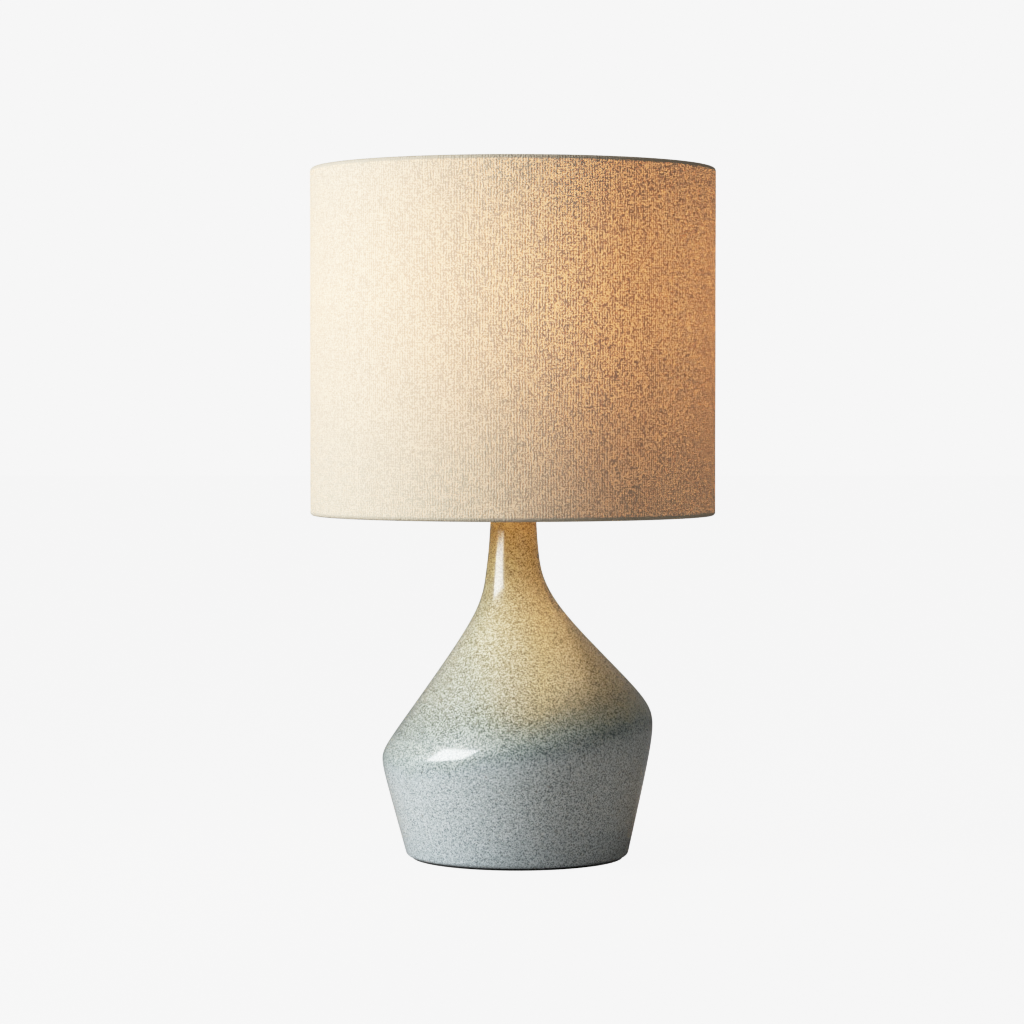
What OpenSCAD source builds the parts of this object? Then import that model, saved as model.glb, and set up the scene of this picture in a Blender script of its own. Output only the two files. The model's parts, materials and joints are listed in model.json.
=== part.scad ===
// Table lamp: a glazed ceramic base with a tilted shoulder, a keyed lampholder with a
// bulb, a harp, and a linen drum shade held by a finial.
// Millimetres, +Z up, origin on the floor under the lamp pipe's axis. The front is -Y.

/* [Shade] */
// Outside diameter of the drum shade
shade_d = 280; // [264:1:290]
// Height of the drum shade
shade_h = 239; // [225:1:250]
// Height of the shade's lower rim above the floor
shade_z0 = 237; // [234:1:240]
// Thickness of the linen cover
fabric_t = 0.6; // [0.5:0.1:0.8]
// Thickness of the stiff liner behind the linen
liner_t = 0.5; // [0.4:0.1:0.6]
// Radius of the rolled hem that covers each rim wire
hem_r = 2.35; // [2.2:0.05:2.6]
// Radius of the two rim wires
rim_wire_r = 1.2; // [1:0.1:1.2]

/* [Ceramic base] */
// Radius of the foot, before its edge is rounded
foot_r = 76.5; // [74:0.5:80]
// Sideways place of the foot's centre
foot_x = 3.2; // [0:0.1:4]
// Radius gained by the lower wall for each millimetre of height
wall_flare = 0.253; // [0.22:0.001:0.27]
// Sideways drift of the lower wall's centre for each millimetre of height
wall_lean = -0.0265; // [-0.03:0.0005:0]
// Height at which the upper cone would come to a point
cone_tip_z = 197; // [190:1:200]
// Radius gained by the upper cone for each millimetre down from its point
cone_slope = 0.902; // [0.86:0.001:0.92]
// Drift of the upper cone's centre towards the high side, for each millimetre down
cone_drift = 0.168; // [0.1:0.001:0.18]
// Direction of the shoulder's high side, in degrees from +X
high_side = 13; // [0:1:20]
// Radius that the neck settles to
neck_r = 13.8; // [13.5:0.1:14.5]
// How softly the cone runs into the neck
neck_blend = 22; // [16:1:24]
// How soft the shoulder is, averaged round the base
shoulder_blend = 11; // [8:1:12]
// Height of the neck's top
neck_top = 252; // [250:1:252]
// Horizontal thickness of the ceramic wall
clay_t = 6; // [5:0.5:6.5]

/* [Harp and bulb] */
// Distance of each harp leg from the lamp's axis
leg_x = 29.8; // [29.8:0.1:30.4]
// Radius of the harp wire
harp_wire_r = 1.7; // [1.5:0.1:1.7]
// Greatest radius of the bulb
bulb_r = 30; // [28:0.5:30]
// Height of the bulb's glass top above the floor
bulb_top = 410; // [406:1:412]

/* [Hidden] */
$fn = 96;
gap = 0.1;            // running clearance between pieces that move past each other
touch = 0.02;         // overlap of two solids that are one piece

// Colours
linen = [0.90, 0.84, 0.74];
liner_white = [0.95, 0.94, 0.90];
glaze = [0.55, 0.60, 0.60];
felt_black = [0.10, 0.10, 0.10];
nickel = [0.72, 0.71, 0.68];
steel = [0.62, 0.63, 0.64];
brass = [0.78, 0.62, 0.32];
white_wire = [0.90, 0.90, 0.88];
opal_glass = [0.97, 0.96, 0.92, 0.9];
clear_glass = [0.85, 0.90, 0.90, 0.5];
phenolic = [0.12, 0.09, 0.08];
paper_board = [0.78, 0.72, 0.60];
rubber_black = [0.08, 0.08, 0.08];
knob_bronze = [0.30, 0.26, 0.22];

// Heights up the lamp, each piece standing on the one before
felt_t = 1.5;
foot_round = 2.5;
floor_z0 = 9;                              // underside of the ceramic floor
floor_t = 6;
plate_t = 1.5;
spring_washer_t = 1;
nut_t = 3.5;
plate_z0 = floor_z0 - plate_t;
spring_washer_z0 = plate_z0 - spring_washer_t;
bottom_nut_z0 = spring_washer_z0 - nut_t;
pipe_z0 = bottom_nut_z0 - 0.5;
gasket_t = 1.5;
cap_z0 = neck_top + gasket_t;              // underside of the vase cap's plate
cap_t = 1.2;
saddle_z0 = cap_z0 + cap_t;
saddle_t = 1.6;
lock_nut_z0 = saddle_z0 + saddle_t;
lock_nut_t = 3;
socket_z0 = lock_nut_z0 + lock_nut_t;      // underside of the socket cap's hub
pipe_z1 = socket_z0 + 8.7;

// Lamp pipe and the holes that clear it
pipe_r = 4.95;
pipe_bore_r = 3.6;
thread_hole_r = 5;
clear_hole_r = 5.2;
nut_flats = 14;

// Underside of the ceramic base
foot_flat_r = foot_r - foot_round;
recess_r = 60;
floor_hole_r = 20;
foot_z = felt_t;

// Cord outlet, square to the back wall
outlet_z = 24;
outlet_tilt = atan(wall_flare);
outlet_hole_r = 5.5;
outlet_flange_r = 7.5;
outlet_bore_r = 3.6;
outlet_flange_t = 1.6;
outlet_length = 10;
outlet_seat = 0.5;                         // depth of the flat that the flange sits on

// Neck of the ceramic base
neck_x = 0.5;
neck_round = 2;
neck_taper = 0.003;
drift_blend = 7.3;
neck_blend_z = 232;
pipe_passage_r = 6.5;                      // hole in the top of the neck

// Socket
hub_r = 7.2;
socket_cap_r = 17.2;
socket_cap_t = 0.8;
socket_cap_z1 = socket_z0 + 23.7;
shell_r = 16.3;
shell_t = 0.7;
shell_z0 = socket_z0 + 17.7;
shell_z1 = socket_z0 + 62.7;
insulator_r = 15.5;
insulator_t = 0.55;
insulator_z1 = shell_z1 + 1.8;
block_r = 14.4;                            // the moulded switch block
block_z0 = socket_z0 + 24.7;
block_z1 = block_z0 + 16;
screw_shell_z1 = block_z1 + 21;
screw_inner_r = 13.4;
thread_pitch = 3.63;
thread_depth = 0.65;
screw_shell_t = 0.4;
switch_z = block_z0 + 8;
cavity_r = 5.2;
rotor_r = 4.8;
rotor_y = [-8.5, -2];
shaft_r = 2;
shaft_y1 = -27;
knob_r = 6.2;
knob_y = [-24, -36];
knob_flutes = 16;
strip_t = 0.4;
strip_w = 4;
strip_y = -1.4;
rivet_places = [[8, 7.5], [-8, 7.5]];
rivet_r = 1.3;
rivet_head_r = 2.2;
rivet_head_t = 0.7;
terminal_x = 12;                           // the flats that the terminal screws sit on
terminal_z = block_z0 + 5;

// Bulb
bulb_tip_z = block_z1 + 2.4;
bulb_cap_z0 = bulb_tip_z + 5.8;
bulb_cap_z1 = bulb_cap_z0 + 22;
bulb_thread_r = 13.1;
bulb_thread_turns = 5;
bulb_glass_t = 0.8;
bulb_neck_r = 13.3;

// Harp, from its feet to its top plate
harp_foot_z = socket_z0 + 2.7;
harp_bend_z = socket_z0 + 37;
harp_top_z = 455;                          // centre of the wire under the top block
harp_out_angle = 40;
harp_in_angle = 10;
harp_out_r = 30;
harp_mid_straight = 2;                     // between the outward bend and the long curve
harp_side_r = 96;
harp_corner_r = 44;
harp_end_x = 4.5;                          // the wire stops here, inside the top block
top_block = [26, 8, 6];
arm_x = [25.6, 27.2];
arm_top_z = socket_z0 + 19.7;
sleeve_x = 28.4;
sleeve_r = [3.7, 4.6];
sleeve_z = [socket_z0 + 8.7, socket_z0 + 20.7];
collar_r = 2.5;
collar_z = sleeve_z[0] - 1.6;

// Swivel stud, finial and the shade's fitter ring
swivel_bore_r = 2.5;
swivel_shank_r = 2.45;
stud_r = 3.15;
block_top_z = harp_top_z + top_block[2] / 2;
block_bottom_z = harp_top_z - top_block[2] / 2;
flange_z0 = block_top_z + gap;
flange_t = 2;
fitter_z0 = flange_z0 + flange_t;
fitter_t = 1.2;
stud_z1 = fitter_z0 + 12;
finial_z0 = fitter_z0 + fitter_t;
finial_h = 20.7;

// Shade
shade_r = shade_d / 2;
shade_z1 = shade_z0 + shade_h;
liner_r = shade_r - fabric_t;              // outside of the liner
liner_in_r = liner_r - liner_t;
rim_r = shade_r - hem_r;                   // radius at which the rim wires run
hem_turn = 225;                            // the hem rolls this far round its wire,
hem_depth = 7;                             // and its tucked edge ends this far from the rim
spider_angles = [90, 210, 330];
spider_wire_r = 1.1;
fitter_r = [4, 9.5];
arm_slope = 35;
arm_bend_r = 12;

// ---------- helpers ----------

function soft_max(a, b, k) = (a + b + sqrt(pow(a - b, 2) + k * k)) / 2;
function soft_min(a, b, k) = (a + b - sqrt(pow(a - b, 2) + k * k)) / 2;
function arc(cx, cy, r, a0, a1, n) =
    [for (i = [0 : n]) let (a = a0 + (a1 - a0) * i / n) [cx + r * cos(a), cy + r * sin(a)]];
function backwards(list) = [for (i = [len(list) - 1 : -1 : 0]) list[i]];

module ring(z0, h, outer, inner) {
    translate([0, 0, z0]) difference() {
        cylinder(h = h, r = outer);
        translate([0, 0, -1]) cylinder(h = h + 2, r = inner);
    }
}

module hex_nut(z0, h, flats, hole_r) {
    translate([0, 0, z0]) difference() {
        cylinder(h = h, r = flats / 2 / cos(30), $fn = 6);
        translate([0, 0, -1]) cylinder(h = h + 2, r = hole_r);
    }
}

module along_y(y0, y1, r) {
    translate([0, max(y0, y1), 0]) rotate([90, 0, 0]) cylinder(h = abs(y1 - y0), r = r);
}

// A round wire that starts at the origin along +Z. Each step is a straight length, then a
// bend of a radius through an angle: towards +X if the angle is positive, -X if negative.
// The bends are a hair thicker than the straights, which run into them.
module wire_path(steps, r, i = 0) {
    if (i < len(steps)) {
        straight = steps[i][0];
        radius = steps[i][1];
        angle = steps[i][2];
        side = angle < 0 ? -1 : 1;
        turn = abs(angle);
        translate([0, 0, -touch]) cylinder(h = straight + 2 * touch, r = r);
        translate([0, 0, straight]) {
            if (turn > 0)
                mirror([side < 0 ? 1 : 0, 0, 0])
                    translate([radius, 0, 0]) rotate([90, 0, 0]) rotate([0, 0, 180 - turn])
                        rotate_extrude(angle = turn) translate([radius, 0])
                            circle(r = r + touch);
            translate([side * radius * (1 - cos(turn)), 0, radius * sin(turn)])
                rotate([0, angle, 0]) wire_path(steps, r, i + 1);
        }
    }
}

// ---------- ceramic base ----------

// Distance from the lamp's axis to a circle, in direction a, when the axis is inside it
function reach(a, cx, cy, r) =
    let (along = cx * cos(a) + cy * sin(a), across = cx * sin(a) - cy * cos(a))
    along + sqrt(r * r - across * across);

function lower_reach(a, z) =
    reach(a, foot_x + wall_lean * z, 0, foot_r + wall_flare * z);

function upper_reach(a, z) =
    let (
        drift = cone_drift * soft_max(0, cone_tip_z - z, drift_blend),
        neck = neck_r + neck_taper * (neck_blend_z - z),
        r = soft_max(neck, cone_slope * (cone_tip_z - z), neck_blend)
    )
    reach(a, neck_x + drift * cos(high_side), drift * sin(high_side), r);

// The shoulder is softer on its high side
function shoulder_softness(a) = shoulder_blend + 5 * cos(a - high_side);

function clay_reach(a, z) =
    soft_min(lower_reach(a, z), upper_reach(a, z), shoulder_softness(a));

// Rings of the outer skin follow the shoulder's tilt. Each is [height, share of the tilt].
shoulder_z = 86;
shoulder_tilt = 15;
clay_sides = 64;
outer_rings = [
    [12, 0], [30, 0.2], [48, 0.5], [60, 0.75], [68, 0.9], [74, 1], [79, 1], [84, 1],
    [89, 1], [94, 1], [100, 1], [108, 0.95], [118, 0.8], [130, 0.6], [142, 0.4],
    [152, 0.25], [162, 0.1], [170, 0], [178, 0], [186, 0], [194, 0], [203, 0], [214, 0],
    [228, 0], [neck_top - neck_round, 0]
];
inner_rings = [
    [228, 0], [205, 0], [186, 0], [170, 0], [150, 0.25], [125, 0.7], [105, 1], [94, 1],
    [86, 1], [78, 1], [62, 0.8], [40, 0.4], [floor_z0 + floor_t, 0]
];

function ring_z(r, a) = r[0] + r[1] * shoulder_tilt * cos(a - high_side);
function side_angle(i) = 360 * i / clay_sides;
function polar(a, r, z) = [r * cos(a), r * sin(a), z];
function round_ring(cx, r, z) =
    [for (i = [0 : clay_sides - 1]) polar(side_angle(i), reach(side_angle(i), cx, 0, r), z)];
function skin_ring(r, inset) =
    [for (i = [0 : clay_sides - 1])
        let (a = side_angle(i), z = ring_z(r, a)) polar(a, clay_reach(a, z) - inset, z)];

// The rounded edge of the foot, from its flat to the lower wall
function foot_edge() =
    [for (t = [0 : 22.5 : 90])
        let (z = foot_z + foot_round * (1 - cos(t)), r = foot_r + wall_flare * foot_round)
        round_ring(foot_x, r - foot_round * (1 - sin(t)), z)];

// The rounded edge at the top of the neck
function neck_edge() =
    [for (t = [30 : 30 : 90])
        [for (i = [0 : clay_sides - 1])
            let (a = side_angle(i), z = neck_top - neck_round * (1 - sin(t)))
            polar(a, clay_reach(a, neck_top) - neck_round * (1 - cos(t)), z)]];

function clay_rings() = concat(
    foot_edge(),
    [for (r = outer_rings) skin_ring(r, 0)],
    neck_edge(),
    [round_ring(0, pipe_passage_r, neck_top), round_ring(0, pipe_passage_r, neck_top - 8),
     round_ring(0, 8.5, neck_top - 12)],
    [for (r = inner_rings) skin_ring(r, clay_t)],
    [round_ring(0, floor_hole_r, floor_z0 + floor_t), round_ring(0, floor_hole_r, floor_z0),
     round_ring(foot_x, recess_r, floor_z0), round_ring(foot_x, recess_r, foot_z)]
);

// A closed skin through rings of points, the last ring joined to the first
module closed_skin(rings) {
    n = len(rings);
    m = len(rings[0]);
    points = [for (r = rings) each r];
    faces = [for (j = [0 : n - 1], i = [0 : m - 1])
        let (k = (j + 1) % n, h = (i + 1) % m)
        each [[j * m + i, k * m + i, k * m + h], [j * m + i, k * m + h, j * m + h]]];
    polyhedron(points = points, faces = faces, convexity = 8);
}

// Puts its children at the cord outlet, with +Z pointing out of the back wall
module at_outlet() {
    wall = foot_r + wall_flare * outlet_z;
    translate([0, wall, outlet_z]) rotate([-90 - outlet_tilt, 0, 0]) children();
}

module ceramic_body() {
    color(glaze) difference() {
        closed_skin(clay_rings());
        at_outlet() translate([0, 0, -outlet_length - 6])
            cylinder(h = outlet_length + 12, r = outlet_hole_r);
        at_outlet() translate([0, 0, -outlet_seat])
            cylinder(h = 6, r = outlet_flange_r + 0.5);
    }
}

module felt_pad() {
    color(felt_black) translate([foot_x, 0, 0]) cylinder(h = felt_t, r = foot_flat_r - 1);
}

module base_plate() {
    color(steel) ring(plate_z0, plate_t, 42, clear_hole_r);
}

module spring_washer() {
    color(steel) difference() {
        ring(spring_washer_z0, spring_washer_t, 8.5, clear_hole_r);
        translate([0, 7, spring_washer_z0 - 1]) rotate([0, 0, 20])
            translate([-0.6, -3, 0]) cube([1.2, 7, spring_washer_t + 2]);
    }
}

module bottom_nut() {
    color(brass) hex_nut(bottom_nut_z0, nut_t, nut_flats, thread_hole_r);
}

module lamp_pipe() {
    color(steel) ring(pipe_z0, pipe_z1 - pipe_z0, pipe_r, pipe_bore_r);
}

module cord_bushing() {
    color(rubber_black) at_outlet() rotate_extrude() polygon([
        [outlet_bore_r, -outlet_length], [outlet_hole_r - 0.5, -outlet_length],
        [outlet_hole_r, -outlet_length + 1], [outlet_hole_r, -outlet_seat],
        [outlet_flange_r, -outlet_seat], [outlet_flange_r, outlet_flange_t - outlet_seat - 0.6],
        [outlet_flange_r - 0.6, outlet_flange_t - outlet_seat],
        [outlet_bore_r, outlet_flange_t - outlet_seat]
    ]);
}

module neck_gasket() {
    color(rubber_black) ring(neck_top, gasket_t, 12.5, clear_hole_r);
}

module vase_cap() {
    skirt_r = 17.6;
    skirt_in_r = 16.6;
    skirt_z = neck_top - 3;
    color(nickel) rotate_extrude() polygon(concat(
        [[clear_hole_r, cap_z0], [skirt_in_r - 1, cap_z0], [skirt_in_r, cap_z0 - 1],
         [skirt_in_r, skirt_z], [skirt_r, skirt_z]],
        arc(skirt_r - 2, cap_z0 + cap_t - 2, 2, 0, 90, 6),
        [[clear_hole_r, cap_z0 + cap_t]]
    ));
}

// ---------- harp ----------

module harp_saddle() {
    strap_w = 13;
    arm_w = 4;
    neck_z = lock_nut_z0 + 7;
    color(nickel) difference() {
        union() {
            translate([-arm_x[1], -strap_w / 2, saddle_z0])
                cube([2 * arm_x[1], strap_w, saddle_t]);
            for (side = [0, 1]) mirror([side, 0, 0]) {
                translate([arm_x[0], -strap_w / 2, saddle_z0])
                    cube([arm_x[1] - arm_x[0], strap_w, neck_z - saddle_z0]);
                translate([arm_x[0], -arm_w / 2, neck_z - touch])
                    cube([arm_x[1] - arm_x[0], arm_w, arm_top_z - neck_z + touch]);
            }
        }
        translate([0, 0, saddle_z0 - 1]) cylinder(h = saddle_t + 2, r = clear_hole_r);
    }
}

module lock_nut() {
    color(brass) hex_nut(lock_nut_z0, lock_nut_t, nut_flats, thread_hole_r);
}

// Rise of the harp wire through each of its bends, and the straight that closes it
harp_turn = harp_out_angle + harp_in_angle;
side_rise = harp_side_r * (sin(harp_in_angle) + sin(harp_out_angle));
corner_rise = harp_corner_r * (1 - sin(harp_in_angle));
mid_rise = harp_mid_straight * cos(harp_out_angle);
bend_rise = harp_out_r * sin(harp_out_angle) + mid_rise + side_rise + corner_rise;
shoulder_straight = (harp_top_z - harp_bend_z - bend_rise) / cos(harp_in_angle);
side_gain = harp_side_r * (cos(harp_in_angle) - cos(harp_out_angle));
corner_loss = harp_corner_r * cos(harp_in_angle);
top_x = leg_x + harp_out_r * (1 - cos(harp_out_angle))
    + harp_mid_straight * sin(harp_out_angle) + side_gain
    - shoulder_straight * sin(harp_in_angle) - corner_loss;

module harp_wire() {
    steps = [
        [harp_bend_z - harp_foot_z, harp_out_r, harp_out_angle],
        [harp_mid_straight, harp_side_r, -harp_turn],
        [shoulder_straight, harp_corner_r, harp_in_angle - 90],
        [top_x - harp_end_x, 0, 0]
    ];
    color(nickel) for (side = [0, 1]) mirror([side, 0, 0]) translate([leg_x, 0, harp_foot_z]) {
        wire_path(steps, harp_wire_r);
        translate([0, 0, collar_z - harp_foot_z]) cylinder(h = 1.6, r = collar_r);
    }
}

module harp_top_block() {
    color(nickel) difference() {
        translate([-top_block[0] / 2, -top_block[1] / 2, block_bottom_z]) cube(top_block);
        for (side = [0, 1]) mirror([side, 0, 0])
            translate([harp_end_x - touch, 0, harp_top_z]) rotate([0, 90, 0])
                cylinder(h = top_block[0], r = harp_wire_r);
        translate([0, 0, block_bottom_z - 1])
            cylinder(h = top_block[2] + 2, r = swivel_bore_r);
    }
}

module harp_sleeve() {
    color(nickel) translate([sleeve_x, 0, sleeve_z[0]]) rotate_extrude() polygon([
        [sleeve_r[0], 0], [sleeve_r[1] - 0.4, 0], [sleeve_r[1], 0.4],
        [sleeve_r[1], sleeve_z[1] - sleeve_z[0] - 0.4],
        [sleeve_r[1] - 0.4, sleeve_z[1] - sleeve_z[0]], [sleeve_r[0], sleeve_z[1] - sleeve_z[0]]
    ]);
}

module harp_sleeve_right() {
    harp_sleeve();
}

module harp_sleeve_left() {
    mirror([1, 0, 0]) harp_sleeve();
}

module harp_stud() {
    head_r = 4;
    head_t = 2;
    head_z1 = block_bottom_z - gap;
    color(brass) rotate_extrude() polygon([
        [0, head_z1 - head_t], [head_r - 0.6, head_z1 - head_t], [head_r, head_z1 - head_t + 0.6],
        [head_r, head_z1], [swivel_shank_r, head_z1], [swivel_shank_r, flange_z0],
        [6.5, flange_z0], [6.5, fitter_z0], [stud_r, fitter_z0], [stud_r, stud_z1 - 0.8],
        [stud_r - 0.8, stud_z1], [0, stud_z1]
    ]);
}

// ---------- socket and switch ----------

module socket_cap() {
    rim = socket_cap_r;
    t = socket_cap_t;
    hub_z1 = socket_z0 + 6.7;
    color(brass) difference() {
        rotate_extrude() polygon(concat(
            [[thread_hole_r, socket_z0], [hub_r, socket_z0], [hub_r, hub_z1 - 0.5]],
            arc(hub_r + 1.5, hub_z1 - 0.5, 1.5, 180, 90, 4),
            arc(rim - 6, hub_z1 + 7, 6, -90, 0, 8),
            [[rim, socket_cap_z1], [rim - t, socket_cap_z1]],
            backwards(arc(rim - 6, hub_z1 + 7, 6 - t, -90, 0, 8)),
            [[thread_hole_r, hub_z1 + 1 + t]]
        ));
        translate([0, 0, socket_z0 + 3.2]) along_y(0, 12, 1.5);
    }
}

module cap_set_screw() {
    color(steel) translate([0, 0, socket_z0 + 3.2]) {
        along_y(pipe_r + gap, hub_r + 0.3, 1.45);
        difference() {
            along_y(hub_r + gap, hub_r + 2.3, 2.6);
            translate([-3, hub_r + 1.5, -0.35]) cube([6, 2, 0.7]);
        }
    }
}

module socket_shell() {
    bead = 0.6;
    color(brass) difference() {
        rotate_extrude() polygon(concat(
            [[shell_r - shell_t, shell_z0], [shell_r, shell_z0], [shell_r, shell_z0 + 12],
             [shell_r + 0.1, shell_z0 + 12]],
            [for (i = [0 : 2]) each [[shell_r, shell_z0 + 28 + 3 * i],
                [shell_r + bead, shell_z0 + 29 + 3 * i], [shell_r, shell_z0 + 30 + 3 * i]]],
            [[shell_r, shell_z1 - 2]],
            arc(shell_r + 0.1, shell_z1 - 1, 0.8, -90, 90, 6),
            [[shell_r - shell_t, shell_z1 - 0.2]]
        ));
        translate([-3.5, -shell_r - 2, shell_z0 - 1])
            cube([7, shell_t + 4, switch_z - shell_z0 + 1]);
        translate([0, 0, switch_z]) along_y(-shell_r - 2, -shell_r + 3, 3.5);
    }
}

module paper_insulator() {
    color(paper_board) difference() {
        ring(shell_z0 + 1, insulator_z1 - shell_z0 - 1, insulator_r, insulator_r - insulator_t);
        translate([0, 0, switch_z]) along_y(-shell_r - 2, -shell_r + 3, 3);
    }
}

module switch_block() {
    color(phenolic) difference() {
        translate([0, 0, block_z0]) cylinder(h = block_z1 - block_z0, r = block_r);
        translate([0, 0, switch_z]) along_y(-9, 3, cavity_r);
        translate([0, 0, switch_z]) along_y(-block_r - 2, -8, shaft_r + gap);
        translate([-strip_w / 2 - 0.1, strip_y - 0.1, switch_z])
            cube([strip_w + 0.2, strip_t + 0.2, block_z1 - switch_z + 1]);
        for (side = [-1, 1]) {
            translate([side * (terminal_x + 5), 0, terminal_z])
                cube([10, 14, 12], center = true);
            translate([0, 0, terminal_z]) rotate([0, side * 90, 0])
                cylinder(h = terminal_x + 1, r = 1.5);
        }
        for (p = rivet_places) translate([p[0], p[1], block_z0 - 1])
            cylinder(h = block_z1 - block_z0 + 2, r = rivet_r);
    }
}

module block_rivets() {
    z1 = block_z1 + screw_shell_t;
    color(brass) for (p = rivet_places) translate([p[0], p[1], 0]) {
        translate([0, 0, block_z0 - rivet_head_t])
            cylinder(h = z1 + rivet_head_t - block_z0 + touch, r = rivet_r - touch);
        translate([0, 0, block_z0 - rivet_head_t]) cylinder(h = rivet_head_t, r = rivet_head_r);
        translate([0, 0, z1]) cylinder(h = rivet_head_t, r = rivet_head_r);
    }
}

module terminal_screws() {
    color(brass) for (side = [-1, 1]) translate([0, 0, terminal_z]) rotate([0, side * 90, 0]) {
        translate([0, 0, 6]) cylinder(h = terminal_x - 6 + touch, r = 1.45);
        difference() {
            translate([0, 0, terminal_x]) cylinder(h = 1.8, r = 3.2);
            translate([-4, -0.4, terminal_x + 1]) cube([8, 0.8, 2]);
        }
    }
}

module contact_strip() {
    lift = 2;
    color(brass) {
        translate([-strip_w / 2, strip_y, switch_z - 3.5])
            cube([strip_w, strip_t, block_z1 - switch_z + 3.5 + strip_t]);
        translate([-strip_w / 2, strip_y, block_z1]) cube([strip_w, 4, strip_t]);
        translate([-strip_w / 2, strip_y + 3.6, block_z1]) cube([strip_w, strip_t, lift]);
        translate([-strip_w / 2, strip_y, block_z1 + lift - strip_t])
            cube([strip_w, 4, strip_t]);
    }
}

// A wavy outline of turns from z0 up, between the radii r and r - depth
function turns(r, depth, z0, n, pitch) =
    [for (i = [0 : n * 8]) [r - depth / 2 + depth / 2 * cos(45 * i), z0 + pitch * i / 8]];

module screw_shell() {
    outer = screw_inner_r + thread_depth + screw_shell_t;
    n = 5;
    z = block_z1 + 1.4;
    color(nickel) difference() {
        rotate_extrude() polygon(concat(
            [[5, block_z1], [outer - thread_depth, block_z1]],
            turns(outer, thread_depth, z, n, thread_pitch),
            [[outer + 0.2, screw_shell_z1], [screw_inner_r + thread_depth, screw_shell_z1]],
            backwards(turns(outer - screw_shell_t, thread_depth, z, n, thread_pitch)),
            [[screw_inner_r, block_z1 + screw_shell_t], [5, block_z1 + screw_shell_t]]
        ));
        for (p = rivet_places) translate([p[0], p[1], block_z1 - 1])
            cylinder(h = 3, r = rivet_r);
    }
}

module switch_shaft() {
    color(steel) translate([0, 0, switch_z]) difference() {
        along_y(rotor_y[1], shaft_y1, shaft_r);
        translate([shaft_r - 0.7, shaft_y1 - 1, -3]) cube([2, 8, 6]);
    }
}

module switch_rotor() {
    color(phenolic) translate([0, 0, switch_z]) difference() {
        along_y(rotor_y[0], rotor_y[1] + 0.3, rotor_r);
        along_y(rotor_y[0] - 1, rotor_y[1], shaft_r);
        for (a = [0 : 90 : 270]) rotate([0, a, 0]) translate([rotor_r + 1.2, 0, 0])
            along_y(rotor_y[0] - 1, rotor_y[1] + 1.3, 2);
    }
}

module switch_knob() {
    flute_r = 0.8;
    color(knob_bronze) translate([0, 0, switch_z]) difference() {
        translate([0, knob_y[0], 0]) rotate([90, 0, 0]) rotate_extrude() polygon(concat(
            [[0, 0], [knob_r - 1.8, 0], [knob_r - 1, 1.5]],
            arc(knob_r - 1.2, 3.7, 1.2, 0, 40, 3),
            [[knob_r - 0.2, knob_y[0] - knob_y[1] - 2]],
            arc(knob_r - 1.6, knob_y[0] - knob_y[1] - 1.4, 1.4, 0, 90, 5),
            [[0, knob_y[0] - knob_y[1]]]
        ));
        difference() {
            along_y(knob_y[0] + 1, shaft_y1, shaft_r);
            translate([shaft_r - 0.7, shaft_y1 - 1, -3]) cube([2, 8, 6]);
        }
        for (i = [0 : knob_flutes - 1]) rotate([0, 360 * i / knob_flutes, 0])
            translate([knob_r + 0.3, 0, 0]) along_y(knob_y[0] - 3.5, knob_y[1] - 1, flute_r);
    }
}

// ---------- bulb ----------

module bulb_contact() {
    color(steel) translate([0, 0, bulb_tip_z]) rotate_extrude() polygon([
        [0, 0], [1.6, 0], [2.9, 0.35], [3.6, 0.9], [3.6, 1.6], [0, 1.6]
    ]);
}

module bulb_insulator() {
    z = bulb_tip_z + 1.6;
    color(phenolic) rotate_extrude() polygon([
        [0, z], [4.6, z], [9.4, bulb_cap_z0 - 0.6], [9.4, bulb_cap_z0], [0, bulb_cap_z0]
    ]);
}

module bulb_screw_cap() {
    wall = 0.5;
    z1 = bulb_cap_z1;
    thread_z1 = bulb_cap_z0 + 0.9 + bulb_thread_turns * thread_pitch;
    color(nickel) rotate_extrude() polygon(concat(
        [[9.4 - wall, bulb_cap_z0], [9.4, bulb_cap_z0]],
        turns(bulb_thread_r, thread_depth, bulb_cap_z0 + 0.9, bulb_thread_turns, thread_pitch),
        [[bulb_thread_r, z1], [bulb_thread_r - wall, z1],
         [bulb_thread_r - thread_depth - wall, thread_z1 - 2],
         [bulb_thread_r - thread_depth - wall, bulb_cap_z0 + 1.4]]
    ));
}

// Outline of the bulb's glass: a cemented neck, a cove, and a ball on top
glass_centre_z = bulb_top - bulb_r;
glass_z0 = bulb_cap_z1 - 6;
cove_angle = 48;               // where the ball hands over to the cove, below its middle
cove_r = 46;
function glass_outline(inset) =
    let (
        r = bulb_r - inset,
        c = cove_r + inset,
        cx = (bulb_r + cove_r) * cos(cove_angle),
        cz = glass_centre_z - (bulb_r + cove_r) * sin(cove_angle),
        neck = bulb_neck_r - 1.5 - inset,
        end = acos((neck - cx) / c)
    )
    concat(
        [[neck, cz + c * sin(end)]],
        backwards(arc(cx, cz, c, 180 - cove_angle, end, 8)),
        arc(0, glass_centre_z, r, -cove_angle + 8, 90, 16)
    );

module bulb_glass() {
    outline = glass_outline(0);
    inner = glass_outline(bulb_glass_t);
    color(opal_glass) rotate_extrude() polygon(concat(
        [[inner[0][0], glass_z0], [outline[0][0], glass_z0]], outline, backwards(inner)
    ));
}

stem_z1 = glass_centre_z - 22;
module bulb_stem() {
    color(clear_glass) rotate_extrude() polygon([
        [0, glass_z0 + 1], [9.5, glass_z0 + 1], [9.5, glass_z0 + 2], [4, glass_z0 + 12],
        [3, stem_z1 - 3], [3.6, stem_z1 - 1.5], [3, stem_z1], [0, stem_z1]
    ]);
}

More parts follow.
